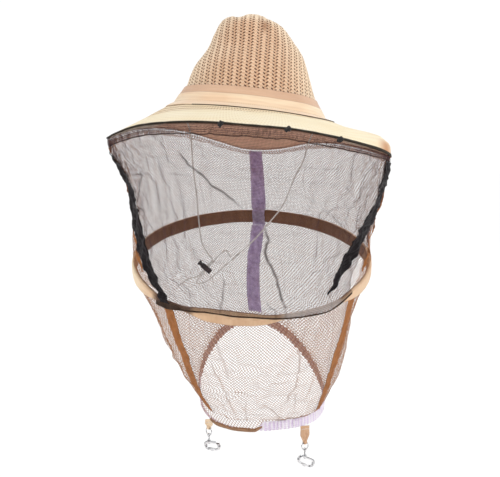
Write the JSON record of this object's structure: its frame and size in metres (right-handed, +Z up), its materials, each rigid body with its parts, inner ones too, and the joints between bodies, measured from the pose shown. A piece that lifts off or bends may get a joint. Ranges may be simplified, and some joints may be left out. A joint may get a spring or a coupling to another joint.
{
  "type": "beekeeping veil",
  "caption": "Knitted sun hat with a wired brim and a mesh veil that hangs to a hoop and a gathered elastic hem, with chin cord and clasp straps.",
  "frame": {"origin": "centre of the bounding box in X and Y, at its lowest point in Z", "axes": "+Z up along the hanging direction, -Y towards the side the wearer faces, +X to the viewer's right when facing the front"},
  "size_m": [0.3488, 0.366, 0.5501],
  "materials": {
    "straw_knit": "open ribbed knit, matt",
    "ribbon": "smooth ribbon with a soft sheen",
    "sweatband_cloth": "matt cloth",
    "spring_steel": "bright drawn wire",
    "edge_binding": "matt tape",
    "woven_brim": "fine even weave, matt",
    "black_mesh": "fine see-through mesh",
    "black_tape": "matt tape",
    "peach_band": "soft cloth",
    "brown_tape": "soft twill tape",
    "khaki_mesh": "open see-through mesh",
    "lavender_tape": "thin tape",
    "gathered_elastic": "gathered elastic",
    "strap_ribbon": "folded ribbon",
    "clasp_metal": "polished plating",
    "cord_braid": "round braided cord",
    "black_plastic": "moulded, slightly glossy"
  },
  "bodies": {
    "hat": {"crown_knit": "straw_knit", "hat_band": "ribbon", "sweatband": "sweatband_cloth", "brim": "woven_brim", "brim_edge_binding": "edge_binding", "brim_edge_wire": "spring_steel", "front_net": "black_mesh", "rear_net": "khaki_mesh", "front_net_top_tape": "black_tape", "front_net_left_tape": "black_tape", "front_net_right_tape": "black_tape", "rear_net_left_tape": "brown_tape", "rear_net_right_tape": "brown_tape", "rear_net_top_tape": "peach_band", "rear_seam_tape_upper": "lavender_tape", "net_tack_left": "black_tape", "net_tack_centre": "black_tape", "net_tack_right": "black_tape", "cord_anchor_left": "strap_ribbon", "cord_anchor_right": "strap_ribbon", "chin_cord_left": "cord_braid", "chin_cord_right": "cord_braid"},
    "hoop": {"hoop_wire": "spring_steel", "hoop_ferrule": "spring_steel", "hoop_casing": "peach_band", "front_net_bottom_tape": "black_tape", "lower_front_net": "khaki_mesh", "lower_rear_net": "khaki_mesh", "lower_left_tape": "brown_tape", "lower_right_tape": "brown_tape", "rear_seam_tape_lower": "lavender_tape"},
    "hem": {"hem_elastic": "gathered_elastic", "hem_binding": "brown_tape"},
    "strap_left": {"strap_tab_left": "strap_ribbon"},
    "ring_left": {"ring_left": "clasp_metal"},
    "swivel_left": {"swivel_left": "clasp_metal"},
    "hook_left": {"hook_body_left": "clasp_metal", "gate_pin_left": "clasp_metal"},
    "gate_left": {"hook_gate_left": "clasp_metal"},
    "strap_right": {"strap_tab_right": "strap_ribbon"},
    "ring_right": {"ring_right": "clasp_metal"},
    "swivel_right": {"swivel_right": "clasp_metal"},
    "hook_right": {"hook_body_right": "clasp_metal", "gate_pin_right": "clasp_metal"},
    "gate_right": {"hook_gate_right": "clasp_metal"},
    "cord_lock": {"cord_lock_barrel": "black_plastic", "cord_lock_spring": "spring_steel"},
    "cord_lock_plunger": {"cord_lock_plunger": "black_plastic"}
  },
  "joints": [
    {"name": "veil_lift", "type": "slide", "parent": "hat", "child": "hoop", "axis": [0, 0, 1], "range_m": [0, 0.09], "deforming": ["front_net", "rear_net", "front_net_left_tape", "front_net_right_tape", "rear_net_left_tape", "rear_net_right_tape", "rear_seam_tape_upper", "chin_cord_left", "chin_cord_right"]},
    {"name": "hem_lift", "type": "slide", "parent": "hoop", "child": "hem", "axis": [0, 0, 1], "range_m": [0, 0.041], "deforming": ["lower_front_net", "lower_rear_net", "lower_left_tape", "lower_right_tape", "rear_seam_tape_lower", "front_net_bottom_tape"]},
    {"name": "strap_left_swing", "type": "hinge", "parent": "hem", "child": "strap_left", "pos_m": [-0.05005, -0.03945, 0.05703], "axis": [0.7175, -0.646, -0.2607], "range_deg": [-20, 20]},
    {"name": "ring_left_swing", "type": "hinge", "parent": "strap_left", "child": "ring_left", "pos_m": [-0.05005, -0.03945, 0.04653], "axis": [0.7431, -0.6691, 0], "range_deg": [-35, 35]},
    {"name": "swivel_left_swing", "type": "hinge", "parent": "ring_left", "child": "swivel_left", "pos_m": [-0.05005, -0.03945, 0.03733], "axis": [0.7431, -0.6691, 0], "range_deg": [-30, 30]},
    {"name": "hook_left_spin", "type": "hinge", "parent": "swivel_left", "child": "hook_left", "pos_m": [-0.05005, -0.03945, 0.03093], "axis": [0, 0, 1], "continuous": true},
    {"name": "gate_left_open", "type": "hinge", "parent": "hook_left", "child": "gate_left", "pos_m": [-0.0495, -0.03995, 0.02009], "axis": [-0.6691, -0.7431, 0], "range_deg": [0, 22], "stiffness_Nm_per_rad": 0.01},
    {"name": "strap_right_swing", "type": "hinge", "parent": "hem", "child": "strap_right", "pos_m": [0.06727, -0.05411, 0.05329], "axis": [0.8633, 0.4984, 0.0797], "range_deg": [-20, 20]},
    {"name": "ring_right_swing", "type": "hinge", "parent": "strap_right", "child": "ring_right", "pos_m": [0.06727, -0.05411, 0.03279], "axis": [0.866, 0.5, 0], "range_deg": [-35, 35]},
    {"name": "swivel_right_swing", "type": "hinge", "parent": "ring_right", "child": "swivel_right", "pos_m": [0.06727, -0.05411, 0.02359], "axis": [0.866, 0.5, 0], "range_deg": [-30, 30]},
    {"name": "hook_right_spin", "type": "hinge", "parent": "swivel_right", "child": "hook_right", "pos_m": [0.06727, -0.05411, 0.01719], "axis": [0, 0, 1], "continuous": true},
    {"name": "gate_right_open", "type": "hinge", "parent": "hook_right", "child": "gate_right", "pos_m": [0.06289, -0.05664, 0.00775], "axis": [0.5, -0.866, 0], "range_deg": [0, 22], "stiffness_Nm_per_rad": 0.01},
    {"name": "cord_lock_slide", "type": "slide", "parent": "hat", "child": "cord_lock", "axis": [-0.6606, 0, -0.7507], "range_m": [-0.006, 0.006]},
    {"name": "cord_lock_press", "type": "slide", "parent": "cord_lock", "child": "cord_lock_plunger", "axis": [0.7507, 0, -0.6606], "range_m": [0, 0.0015], "stiffness_N_per_m": 400, "deforming": ["cord_lock_spring"]}
  ],
  "couplings": [
    {"joint": "hem_lift", "follows": "veil_lift", "ratio": 0.444}
  ]
}
